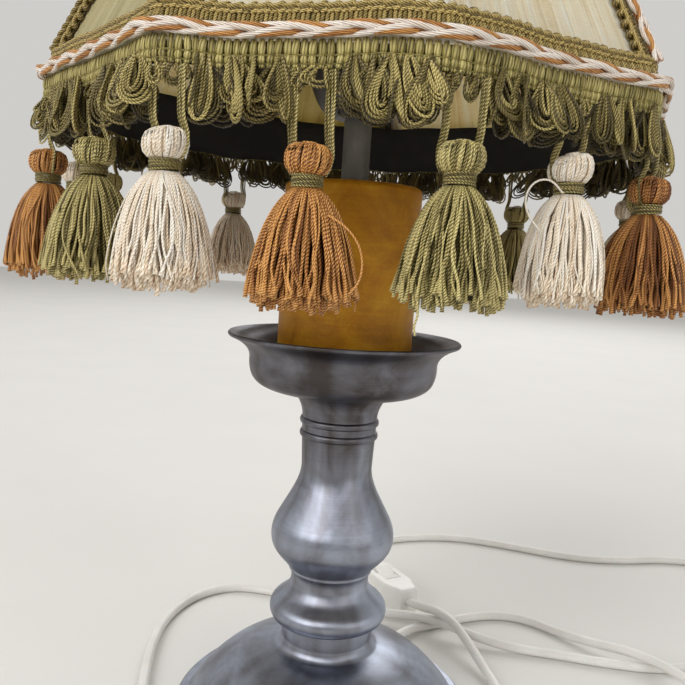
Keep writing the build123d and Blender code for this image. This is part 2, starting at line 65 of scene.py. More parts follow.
# ---- the cords' routes, which the part's tubes follow too ----
LEAD_D = 6.0
LEAD_TO_SWITCH = [
    (42.0, 72.746, 5.0), (51.6, 89.374, 5.0), (74, 103.5, 3.1), (98, 117, 3.1), (122, 124, 3.1),
    (143, 119, 3.1), (161, 101, 3.6), (180, 84, 6.5), (197, 70.5, 9.8), (214, 54, 9.8),
    (229, 34, 6.0), (249, 15, 3.1), (276, 6, 3.1), (303, 13, 3.1), (320, 35, 3.1),
    (318, 63, 3.1), (297, 82, 3.1), (268, 82, 3.1), (242, 71, 3.1), (214, 62, 3.1),
    (180, 66, 3.1), (150, 73, 3.1), (122, 77, 3.6), (98, 84, 6.5), (78, 94, 9.8),
    (56, 102, 9.8), (34, 110, 6.0), (6, 119, 3.1), (-22, 130, 3.1), (-46, 141, 3.1),
    (-71, 143, 3.1), (-92, 129, 3.1), (-104, 106, 3.1), (-109, 77, 3.1), (-107, 43, 3.1),
    (-101, 6, 3.1), (-93, -32, 3.1), (-76, -64, 3.1), (-50, -90, 3.1), (-17, -105, 3.1),
    (19, -107, 3.1), (54, -94, 3.1), (82, -68, 3.1), (99, -35, 3.1), (105, 0, 3.1),
    (104, 26, 3.1), (99, 46, 5.0), (92, 65, 10.5), (84, 82, 16.3), (74, 98, 16.3),
    (65.5, 111.0, 11.5), (58.0, 124.0, 9.0),
]
LEAD_TO_PLUG = [
    (28.0, 176.0, 9.0), (21, 188, 8.0), (17, 208, 4.5), (24, 233, 3.1), (46, 254, 3.1),
    (77, 267, 3.1), (112, 272, 3.1), (146, 264, 3.1), (177, 253, 3.1), (205, 243, 3.1),
    (232, 240, 3.1), (261, 243, 3.1), (291, 250, 3.1), (320, 248, 3.1), (344, 232, 3.1),
    (357, 207, 3.1), (361, 186, 4.6), (364, 168.987, 6.85),
]

# ---- sizes shared with the CAD part ----
SIDES, SIDE_ANGLE, FIRST_CORNER = 9, 40.0, -69.1
RIM_R, RIM_Z, TOP_R, TOP_Z = 147.0, 322.0, 61.0, 491.0
PANEL_BOTTOM, GIMP_BOTTOM, GIMP_TOP = 319.0, 325.4, 333.5
TOP_TRIM_Z, RIDGE_BOTTOM, RIDGE_TOP = 482.6, 331.0, 482.0
BRAID_Z, BRAID_OUT, LOOP_TOP = 322.3, 4.0, 311.4
TASSELS, FIRST_TASSEL = 18, 13.4
STRAP_TOP, STRAP_SPREAD, HEAD_TOP = 310.6, 6.2, 289.0
WRAP_TOP, WRAP_BOTTOM, SKIRT_BOTTOM = 278.5, 274.0, 235.0


# ---- materials ----
def srgb(*rgb):
    """A colour written as 0-255 screen values, as a linear RGBA."""
    linear = [c / 255 / 12.92 if c < 11 else ((c / 255 + 0.055) / 1.055) ** 2.4 for c in rgb]
    return (*linear, 1.0)


class Nodes:
    """Shader nodes in one tree."""

    def __init__(self, tree):
        self.tree = tree

    def put(self, node, socket, value):
        if isinstance(value, bpy.types.NodeSocket):
            self.tree.links.new(value, node.inputs[socket])
        else:
            node.inputs[socket].default_value = value

    def add(self, kind, inputs=None, **settings):
        node = self.tree.nodes.new("ShaderNode" + kind)
        for key, value in settings.items():
            setattr(node, key, value)
        for socket, value in (inputs or {}).items():
            self.put(node, socket, value)
        return node

    def sum(self, op, a, b=0.0, c=0.0):
        return self.add("Math", {0: a, 1: b, 2: c}, operation=op).outputs[0]

    def ramp(self, value, *stops):
        node = self.add("ValToRGB", {0: value})
        elements = node.color_ramp.elements
        while len(elements) < len(stops):
            elements.new(0.5)
        for element, (position, colour) in zip(elements, stops):
            element.position, element.color = position, colour
        return node.outputs[0]


class Look(Nodes):
    """A node material round one Principled shader."""

    def __init__(self, name, **sockets):
        self.material = bpy.data.materials.new(name)
        self.material.use_nodes = True
        super().__init__(self.material.node_tree)
        self.shader = self.tree.nodes["Principled BSDF"]
        for socket, value in sockets.items():
            self.put(self.shader, socket.replace("_", " "), value)

    def mix_scaled(self, *pairs):
        """The sum of (socket, weight) pairs."""
        total = 0.0
        for socket, weight in pairs:
            total = self.sum("MULTIPLY_ADD", socket, weight, total)
        return total

    def place(self):
        """Object coordinates in millimetres, as a vector and its three parts."""
        where = self.add("TexCoord").outputs["Object"]
        scaled = self.add("VectorMath", {0: where, "Scale": 1 / MM}, operation="SCALE").outputs[0]
        parts = self.add("SeparateXYZ", {0: scaled}).outputs
        return scaled, parts

    def along(self):
        """U round the thread or across the cloth, V along it, from the mesh's own map."""
        return self.add("SeparateXYZ", {0: self.add("UVMap", uv_map="UVMap").outputs[0]}).outputs

    def vector(self, x, y, z=0.0):
        return self.add("CombineXYZ", {0: x, 1: y, 2: z}).outputs[0]

    def stretch(self, vector, x, y, z):
        return self.add("VectorMath", {0: vector, 1: (x, y, z)}, operation="MULTIPLY").outputs[0]

    def noise(self, vector, scale=1.0, detail=3.0, roughness=0.55, distortion=0.0):
        """Layered noise; scale is its cells to a unit of the vector."""
        inputs = {"Vector": vector, "Scale": scale, "Detail": detail, "Roughness": roughness,
                  "Distortion": distortion}
        return self.add("TexNoise", inputs).outputs[0]

    def colour(self, value, *stops):
        self.put(self.shader, "Base Color", self.ramp(value, *stops))

    def rough(self, value, low, high):
        spread = self.add("MapRange", {0: value, 3: low, 4: high}).outputs[0]
        self.put(self.shader, "Roughness", spread)

    def bump(self, height, distance_mm):
        inputs = {"Height": height, "Distance": distance_mm * MM, "Strength": 1.0}
        self.put(self.shader, "Normal", self.add("Bump", inputs).outputs[0])


TURNS_A_TONE = 3.7  # shifts the twist of each thread, so that neighbours don't line up


def yarn_look(name, dark, mid, light, plies=2, pitch=2.5, groove_shade=0.9, fibre=0.35):
    """Twisted yarn: the crowns of its plies painted light and the grooves between them painted dark, as
    painted highlight and painted shade, and streaked with its fibres. pitch is the length of one turn; the
    groove shade and fibre weights are how much the painted groove shade and the fibres count in its colour."""
    look = Look(name, Roughness=0.38, Sheen_Weight=0.08, Sheen_Roughness=0.4)
    look.put(look.shader, "Sheen Tint", light)
    u, v, _ = look.along()
    tone = look.add("Attribute", attribute_name="tone").outputs["Fac"]
    lay = look.sum("MULTIPLY_ADD", tone, TURNS_A_TONE, look.sum("MULTIPLY_ADD", v, 1 / pitch, u))
    lobe = look.sum("ABSOLUTE", look.sum("COSINE", look.sum("MULTIPLY", lay, math.pi * plies)))
    crown = look.sum("POWER", lobe, 0.75)
    streaks = look.noise(look.vector(look.sum("MULTIPLY", lay, 9.0), look.sum("MULTIPLY", v, 0.2), tone))
    # painted highlight and painted shade: the ply crowns lighter and the grooves between them darker
    shade = look.mix_scaled((crown, groove_shade * 0.62), (streaks, fibre), (tone, 0.5))
    shade = look.sum("SUBTRACT", shade, 0.3)
    look.colour(shade, (0.1, dark), (0.42, mid), (0.76, light))
    look.bump(look.mix_scaled((crown, 1.0), (streaks, 0.35)), 0.3)
    return look.material


OLIVE = [srgb(38, 31, 9), srgb(124, 110, 54), srgb(222, 206, 140)]
GOLD = [srgb(34, 25, 6), srgb(132, 111, 54), srgb(220, 194, 122)]
COPPER = [srgb(52, 25, 7), srgb(148, 88, 36), srgb(234, 172, 98)]
WHITE = [srgb(222, 194, 162), srgb(255, 239, 215), srgb(255, 250, 240)]

olive_yarn = yarn_look("olive_yarn", *OLIVE)
gold_yarn = yarn_look("gold_yarn", *GOLD, plies=4, pitch=4.4, groove_shade=0.65, fibre=0.5)
copper_yarn = yarn_look("copper_yarn", *COPPER)
white_yarn = yarn_look("white_yarn", *WHITE, groove_shade=0.6)
loop_yarn = yarn_look("loop_yarn", srgb(40, 31, 9), srgb(106, 92, 42), srgb(206, 188, 120), groove_shade=0.65)
plait_white = yarn_look("plait_white", srgb(150, 120, 96), srgb(236, 220, 204), srgb(255, 251, 245), plies=8,
                        pitch=26.0, groove_shade=0.45, fibre=0.6)
plait_copper = yarn_look("plait_copper", *COPPER, plies=8, pitch=26.0, groove_shade=0.6, fibre=0.6)
rib_yarn = yarn_look("rib_yarn", srgb(56, 47, 16), srgb(166, 152, 86), srgb(232, 218, 150), plies=6,
                     pitch=60.0, groove_shade=0.4, fibre=0.5)


def core_look(name, colour, deep):
    """The shadowed inside of a bundle of threads, streaked from top to bottom."""
    look = Look(name, Roughness=0.9)
    u, v, _ = look.along()
    streaks = look.noise(look.vector(look.sum("MULTIPLY", u, 60.0), look.sum("MULTIPLY", v, 0.05)))
    look.colour(streaks, (0.35, deep), (0.7, colour))
    look.bump(streaks, 0.5)
    return look.material


olive_core = core_look("olive_core", srgb(78, 70, 34), srgb(30, 25, 10))
copper_core = core_look("copper_core", srgb(98, 54, 24), srgb(40, 20, 8))
white_core = core_look("white_core", srgb(250, 236, 214), srgb(214, 190, 162))


WEAVE_PITCH = 0.5


def silk_look(name, dark, mid, light, crinkle):
    """Shade silk: long irregular crinkles down the panel, with their light and shade painted into its colour,
    slubs across it and a fine weave.
    """
    look = Look(name, Roughness=0.55, Sheen_Weight=0.3, Sheen_Roughness=0.35, Subsurface_Weight=0.6,
                Subsurface_Scale=0.003)
    look.put(look.shader, "Subsurface Radius", (1.0, 0.9, 0.7))
    u, v, _ = look.along()
    folds = look.noise(look.vector(u, look.sum("MULTIPLY", v, 0.05)), 0.2, 3.0, 0.5, crinkle)
    fine = look.noise(look.vector(u, look.sum("MULTIPLY", v, 0.06)), 0.75, 3.0, 0.55, 0.3)
    slubs = look.noise(look.vector(look.sum("MULTIPLY", u, 0.12), v), 1.6, 4.0, 0.6)
    warp = look.sum("SINE", look.sum("MULTIPLY", u, TAU / WEAVE_PITCH))
    weft = look.sum("SINE", look.sum("MULTIPLY", v, TAU / WEAVE_PITCH))
    weave = look.sum("MULTIPLY", warp, weft)
    # painted light and painted shade on the crinkles (folds, fine); the slubs and the weave are the silk's
    # own tone
    shade = look.mix_scaled((folds, 0.55), (fine, 0.25), (slubs, 0.22), (weave, 0.025))
    look.colour(shade, (0.34, dark), (0.5, mid), (0.68, light))
    look.bump(look.mix_scaled((folds, 1.0), (fine, 0.3), (slubs, 0.15), (weave, 0.04)), 1.6)
    look.rough(slubs, 0.42, 0.68)
    glow = look.add("BsdfTranslucent", {"Color": look.shader.inputs["Base Color"].links[0].from_socket})
    cloth = look.add("MixShader", {0: 0.2, 1: look.shader.outputs[0], 2: glow.outputs[0]})
    look.put(look.tree.nodes["Material Output"], "Surface", cloth.outputs[0])
    return look.material


cream_silk = silk_look("cream_silk", srgb(208, 180, 134), srgb(246, 224, 184), srgb(255, 246, 222), 0.9)
olive_silk = silk_look("olive_silk", srgb(158, 144, 92), srgb(188, 174, 122), srgb(212, 200, 152), 0.4)


# heights over which the painted shade darkens the pewter towards the neck and the pan
NECK_FROM, NECK_TO = 116.0, 156.0


def pewter_look():
    """Turned pewter: very fine lines round the axis that draw its highlights out, soft tarnish, and painted
    shade that darkens the neck and the pan.
    """
    look = Look("pewter", Metallic=1.0, Anisotropic=0.7)
    where, (x, y, z) = look.place()
    radius = look.sum("SQRT", look.sum("ADD", look.sum("MULTIPLY", x, x), look.sum("MULTIPLY", y, y)))
    profile = look.vector(radius, z)
    lines = look.noise(profile, 3.2, 2.0, 0.6)
    bands = look.noise(profile, 0.12, 2.0, 0.5)
    bloom = look.noise(where, 0.035, 4.0, 0.6, 0.6)
    around_axis = look.vector(look.sum("DIVIDE", x, radius), look.sum("DIVIDE", y, radius))
    polish = look.noise(around_axis, 1.7, 2.0, 0.5)
    shade = look.mix_scaled((lines, 0.08), (bands, 0.12), (bloom, 0.4), (polish, 0.4))
    # painted shade and painted reflection: the neck and the pan are painted darker than the foot and the
    # baluster, for the shade above them and the dark room they reflect
    painted_shade_by_height = look.add("MapRange", {0: z, 1: NECK_FROM, 2: NECK_TO, 3: 0.07, 4: -0.09}).outputs[0]
    shade = look.sum("ADD", shade, painted_shade_by_height)
    look.colour(shade, (0.34, srgb(78, 72, 71)), (0.5, srgb(128, 129, 137)), (0.66, srgb(172, 179, 194)))
    look.rough(look.mix_scaled((lines, 0.2), (bloom, 0.8)), 0.32, 0.46)
    look.bump(lines, 0.008)
    tangent = look.add("Tangent", direction_type="RADIAL", axis="Z").outputs[0]
    look.put(look.shader, "Tangent", tangent)
    return look.material


def wax_look():
    """Amber candle wax: cloudy, with drawn streaks round it and a paler dusty bloom."""
    look = Look("wax", Subsurface_Weight=0.35, Subsurface_Scale=0.006, Specular_IOR_Level=0.3)
    look.put(look.shader, "Subsurface Radius", (1.0, 0.45, 0.12))
    where, _ = look.place()
    cloud = look.noise(where, 0.05, 5.0, 0.62, 0.8)
    streaks = look.noise(look.stretch(where, 0.03, 0.03, 0.5), 1.0, 4.0, 0.6)
    specks = look.noise(where, 0.7, 2.0, 0.5)
    shade = look.mix_scaled((cloud, 0.65), (streaks, 0.2), (specks, 0.15))
    look.colour(shade, (0.3, srgb(146, 92, 2)), (0.46, srgb(176, 117, 6)), (0.6, srgb(196, 139, 18)),
                (0.76, srgb(214, 166, 60)))
    look.rough(streaks, 0.38, 0.62)
    look.bump(look.mix_scaled((streaks, 0.7), (specks, 0.25)), 0.25)
    return look.material


def grained_look(name, dark, light, smoothest, roughest, scale=0.4, depth=0.05, sockets=None):
    """Moulded, cast, painted or felted stuff: two near tones, uneven gloss and a fine grain.
    scale is the grain's fineness, and depth the height of its bumps."""
    look = Look(name, **(sockets or {}))
    where, _ = look.place()
    broad = look.noise(where, scale * 0.12, 3.0, 0.5)
    grain = look.noise(where, scale * 4.0, 3.0, 0.6)
    look.colour(look.mix_scaled((broad, 0.7), (grain, 0.3)), (0.35, srgb(*dark)), (0.65, srgb(*light)))
    look.rough(look.mix_scaled((broad, 0.5), (grain, 0.5)), smoothest, roughest)
    look.bump(grain, depth)
    return look.material


# each look's two tones, its least and most roughness, its grain and its other sockets
GRAINED = {
    "felt": ((30, 44, 30), (52, 70, 50), 0.85, 1.0, 1.0, 0.3, {"Sheen_Weight": 0.4}),
    "iron": ((48, 46, 46), (78, 74, 72), 0.55, 0.8, 0.5, 0.3, {"Metallic": 0.8}),
    "grommet_rubber": ((206, 203, 196), (222, 219, 212), 0.5, 0.7),
    "steel": ((150, 150, 152), (182, 182, 186), 0.22, 0.42, 0.8, 0.03, {"Metallic": 1.0}),
    "grey_tube": ((128, 129, 130), (156, 157, 158), 0.3, 0.5, 0.8, 0.04, {"Metallic": 0.6}),
    "holder_plastic": ((24, 23, 22), (40, 38, 36), 0.3, 0.5),
    "ceramic": ((214, 208, 196), (230, 226, 216), 0.45, 0.7),
    "brass": ((170, 132, 64), (206, 170, 96), 0.25, 0.45, 0.4, 0.05, {"Metallic": 1.0}),
    "bulb_metal": ((176, 176, 176), (208, 208, 206), 0.25, 0.45, 0.4, 0.05, {"Metallic": 1.0}),
    "bulb_glass": ((236, 234, 228), (248, 247, 243), 0.3, 0.42, 0.3, 0.02,
                  {"Transmission_Weight": 0.35, "IOR": 1.46}),
    "wire": ((34, 30, 25), (50, 45, 38), 0.4, 0.6, 0.6, 0.06),
    "white_pvc": ((214, 211, 205), (232, 230, 225), 0.34, 0.5, 0.3, 0.03,
                 {"Subsurface_Weight": 0.08, "Subsurface_Scale": 0.002}),
    "white_plastic": ((222, 220, 214), (236, 235, 230), 0.22, 0.36, 0.3, 0.02),
    "pin_metal": ((184, 180, 170), (212, 208, 198), 0.15, 0.3, 0.8, 0.02, {"Metallic": 1.0}),
    # near-black, for the painted shadow band inside the rim
    "band_cloth": ((13, 11, 10), (25, 22, 19), 0.8, 0.95, 1.0, 0.1),
    # the socket cup's pewter, painted darker as painted shade for the shadow inside the lampshade
    "cup_metal": ((74, 73, 72), (98, 96, 94), 0.35, 0.55, 0.8, 0.04, {"Metallic": 0.8}),
}
LOOKS = {name: grained_look(name, *row) for name, row in GRAINED.items()}
LOOKS.update(pewter=pewter_look(), wax=wax_look())

SLOT_OF = {row["node"]: row["material_slot"] for row in frame["record"]["subparts"]}
for node_name, node in frame["nodes"].items():
    if SLOT_OF[node_name] in LOOKS:
        node.data.materials.clear()
        # the socket cup gets its darker, painted-shade copy of the pewter
        node.data.materials.append(LOOKS["cup_metal" if node_name == "socket_cup" else SLOT_OF[node_name]])


# ---- mesh helpers ----
def unit(vectors):
    return vectors / np.maximum(np.linalg.norm(vectors, axis=-1, keepdims=True), 1e-9)


class Threads:
    """Tubes, wide or fine, gathered into one mesh with a map along each and a tone for each."""

    def __init__(self):
        self.points, self.faces, self.maps, self.tones, self.kinds = [], [], [], [], []
        self.total = 0

    def add(self, paths, radius, kind=0, sides=6, ref=(0, 0, 1), closed=False, squash=1.0, tone=0.5):
        """paths is (tubes, points, 3). ref is roughly square to the paths, and squash is the
        tube's thickness along it as a share of its width. tone is for all, a tube or a point."""
        paths = np.asarray(paths, float)
        paths = paths[None] if paths.ndim == 2 else paths
        tubes, steps = paths.shape[:2]
        if closed:
            ahead = unit(np.roll(paths, -1, 1) - np.roll(paths, 1, 1))
            line = np.concatenate([paths, paths[:, :1]], 1)
        else:
            ahead = unit(np.gradient(paths, axis=1))
            line = paths
        side = unit(np.cross(ahead, np.broadcast_to(np.asarray(ref, float), paths.shape)))
        up = np.cross(side, ahead)
        turn = np.arange(sides) * TAU / sides
        ring = np.cos(turn)[:, None] * side[:, :, None] + squash * np.sin(turn)[:, None] * up[:, :, None]
        width = np.broadcast_to(np.asarray(radius, float), (tubes, steps))[:, :, None, None]
        self.points.append((paths[:, :, None] + width * ring).reshape(-1, 3))
        index = np.arange(tubes * steps * sides).reshape(tubes, steps, sides) + self.total
        self.total += index.size
        near, far = (index, np.roll(index, -1, 1)) if closed else (index[:, :-1], index[:, 1:])
        quads = np.stack([near, far, np.roll(far, -1, 2), np.roll(near, -1, 2)], -1)
        run = np.cumsum(np.linalg.norm(np.diff(line, axis=1), axis=2), 1)
        run = np.concatenate([np.zeros((tubes, 1)), run], 1)
        u = np.broadcast_to(np.arange(sides) / sides, near.shape)
        v0 = np.broadcast_to(run[:, :-1, None], near.shape)
        v1 = np.broadcast_to(run[:, 1:, None], near.shape)
        flat = np.stack([u, v0, u, v1, u + 1 / sides, v1, u + 1 / sides, v0], -1)
        self.keep(quads.reshape(-1, 4), flat.reshape(-1, 2), kind)
        if not closed:
            for caps in (index[:, 0], index[:, -1, ::-1]):
                self.keep(caps, np.zeros((caps.size, 2)), kind)
        tone = np.asarray(tone, float)
        tones = np.broadcast_to(tone if tone.ndim == 2 else tone.reshape(-1, 1), (tubes, steps))
        self.tones.append(np.repeat(tones.reshape(-1), sides))

    def sheet(self, grid, maps):
        """An open surface through a (rows, columns, 3) grid, with its map in millimetres."""
        rows, columns = grid.shape[:2]
        index = np.arange(rows * columns).reshape(rows, columns) + self.total
        self.total += index.size
        self.points.append(grid.reshape(-1, 3))
        self.tones.append(np.full(rows * columns, 0.5))
        corners = [(slice(None, -1), slice(None, -1)), (slice(None, -1), slice(1, None)),
                   (slice(1, None), slice(1, None)), (slice(1, None), slice(None, -1))]
        quads = np.stack([index[c] for c in corners], -1).reshape(-1, 4)
        flat = np.stack([maps[c] for c in corners], -2).reshape(-1, 2)
        self.keep(quads, flat, 0)

    def keep(self, faces, flat, kind):
        self.faces.append(faces)
        self.maps.append(flat)
        self.kinds.append(np.full(len(faces), kind))

    def make(self, name, body, materials, slot, replaced=()):
        """The one mesh object of these threads, which rides its body."""
        mesh = bpy.data.meshes.new(name)
        sizes = np.concatenate([np.full(len(f), f.shape[1]) for f in self.faces])
        corners = np.concatenate([f.reshape(-1) for f in self.faces])
        points = np.concatenate(self.points) * MM
        mesh.vertices.add(len(points))
        mesh.vertices.foreach_set("co", points.astype(np.float32).ravel())
        mesh.loops.add(len(corners))
        mesh.loops.foreach_set("vertex_index", corners.astype(np.int32))
        mesh.polygons.add(len(sizes))
        mesh.polygons.foreach_set("loop_start", (np.cumsum(sizes) - sizes).astype(np.int32))
        mesh.polygons.foreach_set("material_index", np.concatenate(self.kinds).astype(np.int32))
        mesh.polygons.foreach_set("use_smooth", np.ones(len(sizes), bool))
        mesh.update(calc_edges=True)
        maps = mesh.uv_layers.new(name="UVMap")
        maps.uv.foreach_set("vector", np.concatenate(self.maps).astype(np.float32).ravel())
        tone = mesh.attributes.new("tone", "FLOAT", "POINT")
        tone.data.foreach_set("value", np.concatenate(self.tones).astype(np.float32))
        for material in materials:
            mesh.materials.append(material)
        made = bpy.data.objects.new(name, mesh)
        bpy.context.scene.collection.objects.link(made)
        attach(made, body)
        if replaced:
            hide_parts(*replaced)
        return made


def around(degrees, radius, z):
    """Points at these angles round the lamp's axis."""
    turn = np.radians(degrees)
    return np.stack(np.broadcast_arrays(radius * np.sin(turn), -radius * np.cos(turn), z), -1).astype(float)


def panel_r(z):
    """The shade's radius across its corners at this height."""
    return RIM_R - (RIM_R - TOP_R) * (z - RIM_Z) / (TOP_Z - RIM_Z)


def corner(index, radius, z):
    return around(FIRST_CORNER + SIDE_ANGLE * index, radius, z)


def trimmed(index):
    """Two of every three of the shade's corners carry gimp and a cord."""
    return index % 3 != 2


def sag(degrees):
    """The rim's small rise and fall, as sewn trims have."""
    turn = np.radians(degrees)
    return 0.5 * np.sin(9 * turn + 0.4) + 0.35 * np.sin(14 * turn + 2.0) + 0.3 * np.sin(23 * turn)


def rim_line(radius, z, count, soften=2.5):
    """Points evenly spaced round the nine-sided rim, softened at its corners, with the
    tangent and the outward normal at each."""
    at = np.arange(count) / count * SIDES
    side, share = at.astype(int), (at % 1)[:, None]
    ends = corner(np.arange(SIDES + 1), radius, 0.0)[:, :2]
    points = ends[side] * (1 - share) + ends[side + 1] * share
    spacing = 2 * SIDES * radius * math.sin(math.radians(SIDE_ANGLE / 2)) / count
    half = int(4 * soften / spacing)
    weights = np.exp(-0.5 * (np.arange(-half, half + 1) * spacing / soften) ** 2)
    weights /= weights.sum()
    wrapped = np.concatenate([points[-half:], points, points[:half]])
    points = np.stack([np.convolve(wrapped[:, k], weights, "valid") for k in (0, 1)], -1)
    tangent = unit(np.roll(points, -1, 0) - np.roll(points, 1, 0))
    degrees = np.degrees(np.arctan2(points[:, 0], -points[:, 1]))
    line = np.column_stack([points, np.full(count, float(z)) + sag(degrees)])
    flat = np.zeros(count)
    return line, np.column_stack([tangent, flat]), np.column_stack([tangent[:, 1], -tangent[:, 0], flat])


# ---- the mains lead ----
def lead(name, route):
    """A stretch of the lead, smooth along its route, which lies on the table."""
    curve = bpy.data.curves.new(name, "CURVE")
    curve.dimensions = "3D"
    spline = curve.splines.new("NURBS")
    spline.points.add(len(route) - 1)
    for point, at in zip(spline.points, route):
        point.co = (*[c * MM for c in at], 1.0)
    spline.order_u = 3
    spline.use_endpoint_u = True
    spline.resolution_u = 8
    curve.bevel_depth = LEAD_D / 2 * MM
    curve.bevel_resolution = 5
    curve.use_fill_caps = True
    curve.materials.append(LOOKS["white_pvc"])
    made = bpy.data.objects.new(name + "_cord", curve)
    bpy.context.scene.collection.objects.link(made)
    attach(made, "candlestick")
    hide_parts(name)


lead("mains_lead_lamp", LEAD_TO_SWITCH)
lead("mains_lead_plug", LEAD_TO_PLUG)


# ---- the shade's panels ----
PANEL_COLUMNS, PANEL_ROWS, RIPPLES = 73, 61, 9
SILK_THICK, RIDGE_GAP, HOLLOW = 0.8, 0.8, 1.3


def shade_panel(index):
    """One stretched panel with shallow crinkles, a little hollow between its ribs."""
    olive = index % 3 == 0
    rng = np.random.default_rng(40 + index)
    low = [corner(index + k, panel_r(PANEL_BOTTOM), PANEL_BOTTOM) for k in (0, 1)]
    top = [corner(index + k, TOP_R, TOP_Z) for k in (0, 1)]
    width, top_width = (np.linalg.norm(b - a) for a, b in (low, top))
    slant = np.linalg.norm((top[0] + top[1] - low[0] - low[1]) / 2)
    u, v = np.meshgrid(np.linspace(0, 1, PANEL_COLUMNS), np.linspace(0, 1, PANEL_ROWS))
    start, end = (RIDGE_GAP / width if trimmed(index + k) else 0.0 for k in (0, 1))
    share = (start + u * (1 - start - end))[..., None]
    flat = (low[0] * (1 - share) + low[1] * share) * (1 - v[..., None])
    flat = flat + (top[0] * (1 - share) + top[1] * share) * v[..., None]
    face = np.cross(low[1] - low[0], top[0] - low[0])
    out = unit(face)
    out = out * np.sign(np.dot(out, low[0]))
    edge = np.sin(np.pi * u) ** 0.5 * np.sin(np.pi * np.clip(v, 0.02, 0.98)) ** 0.5
    hollow = HOLLOW * np.sin(np.pi * u) * np.sin(np.pi * v) ** 0.7
    ripple = np.zeros_like(u)
    for _ in range(RIPPLES):
        waves, phase, drift = rng.uniform(5, 16), rng.uniform(0, TAU), rng.uniform(-0.8, 0.8)
        wave = np.sin(TAU * waves * (u + drift * 0.1 * v) + phase + 2 * drift * v)
        ripple += rng.uniform(0.03, 0.08) * wave
    depth = (0.3 if olive else 1.0) * ripple * edge - hollow
    grid = flat + out * (depth - 0.1)[..., None]
    maps = np.stack([u * width, v * slant], -1)
    panel = Threads()
    panel.sheet(grid, maps)
    slot = "olive_silk" if olive else "cream_silk"
    made = panel.make(f"shade_panel_{index + 1}", "shade", [olive_silk if olive else cream_silk], slot,
                      ["shade_panels_olive" if olive else "shade_panels_cream"])
    shell = made.modifiers.new("cloth thickness", "SOLIDIFY")
    shell.thickness = SILK_THICK * MM
    shell.offset = -1.0 if np.dot(out, face) > 0 else 1.0


for panel_index in range(SIDES):
    shade_panel(panel_index)


# ---- gimp, plait and header ----
GIMP_PERIOD, GIMP_WIDTH, STEPS_A_PERIOD, RIBS_A_PERIOD = 4.7, 8.0, 12, 3


def gimp(threads, line, tangent, across, out, closed, width):
    """Scroll gimp along a line: two rows of knotted scrolls, a looped row, a ribbed foot and a
    dark backing. across points to the scalloped edge and out away from the cloth. The strands'
    places are written for a gimp of GIMP_WIDTH."""
    steps = len(line)
    length = np.linalg.norm(np.diff(line, axis=0), axis=1).sum()
    periods = max(1, round(length / GIMP_PERIOD))
    phase = np.arange(steps) / (steps if closed else steps - 1) * periods * TAU
    scale = width / GIMP_WIDTH
    uneven = 1 + 0.14 * np.sin(0.37 * phase) + 0.1 * np.sin(0.61 * phase + 1.0)

    def strand(along, over, proud, radius, tone):
        path = line + tangent * along[:, None] + across * (over * scale)[:, None] + out * proud[:, None]
        threads.add(path, radius, ref=out, closed=closed, tone=tone)

    strand(1.8 * np.cos(phase), 6.1 + 1.45 * uneven * np.sin(phase), 1.3 + 0.5 * np.cos(phase + 0.8),
           1.0, 0.15)
    strand(1.3 * np.cos(phase), 6.3 + 0.7 * uneven * np.sin(phase), 2.2 + 0.4 * np.cos(phase + 0.8),
           0.72, 0.6)
    strand(0.9 * np.sin(2 * phase), 4.3 + 0.5 * np.sin(2 * phase), 1.5 + 0.35 * np.cos(2 * phase), 0.66, 0.8)
    at = np.linspace(0, steps - 1, periods * RIBS_A_PERIOD, endpoint=not closed).astype(int)
    reach = np.array([-0.2, 0.6, 1.8, 3.0, 4.2]) * scale
    proud = np.array([0.6, 0.95, 1.05, 0.95, 0.7])
    foot = line[at, None] + across[at, None] * reach[None, :, None] + out[at, None] * proud[None, :, None]
    threads.add(foot, 0.74, ref=out[at, None], tone=0.45 + 0.2 * np.sin(2.3 * np.arange(len(at))))
    threads.add(line + across * (3.4 * scale) + out * 0.4, 3.5 * scale, sides=8, ref=out, closed=closed,
                squash=0.13, tone=0.0)


def slope_frame(normal):
    """Up the panel's slope, and square to the panel, at points of the rim with that normal."""
    apothem = math.cos(math.radians(SIDE_ANGLE / 2))
    lean = (RIM_R - TOP_R) * apothem / (TOP_Z - RIM_Z)
    up = np.array([0, 0, 1.0])
    return unit(up - normal * lean), unit(normal + up * lean)


rim_gimp = Threads()
rim_length = 2 * SIDES * RIM_R * math.sin(math.radians(SIDE_ANGLE / 2))
rim_steps = round(rim_length / GIMP_PERIOD) * STEPS_A_PERIOD
rim, rim_tangent, rim_normal = rim_line(panel_r(GIMP_BOTTOM) + 0.3, GIMP_BOTTOM - 0.4, rim_steps)
gimp(rim_gimp, rim, rim_tangent, *slope_frame(rim_normal), True, width=8.4)
rim_gimp.make("gimp_band_braid", "shade", [gold_yarn], "olive_braid", ["gimp_band"])

top_gimp = Threads()
top_line, top_tangent, top_normal = rim_line(panel_r(TOP_TRIM_Z) + 0.2, TOP_TRIM_Z, 80 * STEPS_A_PERIOD, 1.5)
top_line[:, 2] = TOP_TRIM_Z
gimp(top_gimp, top_line, top_tangent, *slope_frame(top_normal), True, width=7.4)
top_gimp.make("top_trim_braid", "shade", [gold_yarn], "olive_braid", ["top_trim"])


# a plait's two yarns: which side of its strand each lies on, and its radius
PLAIT_WHITE, PLAIT_COPPER = (0.85, 1.2), (-1.1, 1.02)


